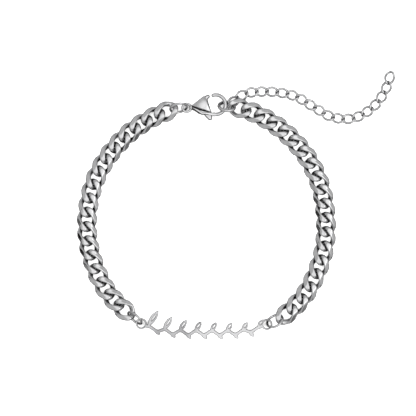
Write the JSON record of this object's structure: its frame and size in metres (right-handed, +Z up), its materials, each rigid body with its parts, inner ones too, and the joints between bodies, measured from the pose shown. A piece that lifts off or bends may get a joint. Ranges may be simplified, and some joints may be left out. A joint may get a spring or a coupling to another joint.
{
  "type": "nameplate bracelet",
  "caption": "Closed loop of flat curb chain with a pierced leafy plate in front, a lobster clasp behind and a thin extension chain, worn round the wrist.",
  "frame": {"origin": "centre of the loop, on the surface that it lies on", "axes": "+X along the plate from its left eyelet to its right one and on to the extension chain, +Y from the plate to the clasp, +Z up out of the surface"},
  "size_m": [0.0761, 0.0645, 0.0042],
  "materials": {
    "curb_steel": "polished, ground flat on both faces",
    "plate_steel": "polished sheet, cut edges",
    "ring_steel": "polished wire",
    "clasp_steel": "polished casting",
    "lever_steel": "polished sheet",
    "extension_steel": "polished wire"
  },
  "bodies": {
    "bracelet": {"left_link_01": "curb_steel", "left_link_02": "curb_steel", "left_link_03": "curb_steel", "left_link_04": "curb_steel", "left_link_05": "curb_steel", "left_link_06": "curb_steel", "left_link_07": "curb_steel", "left_link_08": "curb_steel", "left_link_09": "curb_steel", "left_link_10": "curb_steel", "left_link_11": "curb_steel", "left_link_12": "curb_steel", "left_link_13": "curb_steel", "left_link_14": "curb_steel", "left_link_15": "curb_steel", "left_link_16": "curb_steel", "left_link_17": "curb_steel", "left_link_18": "curb_steel", "right_link_01": "curb_steel", "right_link_02": "curb_steel", "right_link_03": "curb_steel", "right_link_04": "curb_steel", "right_link_05": "curb_steel", "right_link_06": "curb_steel", "right_link_07": "curb_steel", "right_link_08": "curb_steel", "right_link_09": "curb_steel", "right_link_10": "curb_steel", "right_link_11": "curb_steel", "right_link_12": "curb_steel", "right_link_13": "curb_steel", "right_link_14": "curb_steel", "right_link_15": "curb_steel", "right_link_16": "curb_steel", "right_link_17": "curb_steel", "right_link_18": "curb_steel", "right_link_19": "curb_steel", "nameplate": "plate_steel", "left_plate_ring": "ring_steel", "right_plate_ring": "ring_steel", "clasp_ring": "ring_steel", "clasp_body": "clasp_steel", "end_ring": "ring_steel", "extension_chain": "extension_steel"},
    "lever": {"clasp_lever": "lever_steel"}
  },
  "joints": [
    {"name": "lever_pivot", "type": "hinge", "parent": "bracelet", "child": "lever", "pos_m": [-0.00177, 0.02735, 0.0015], "axis": [0, 0, -1], "range_deg": [0, 25], "stiffness_Nm_per_rad": 0.003, "springref_deg": -17.19}
  ]
}
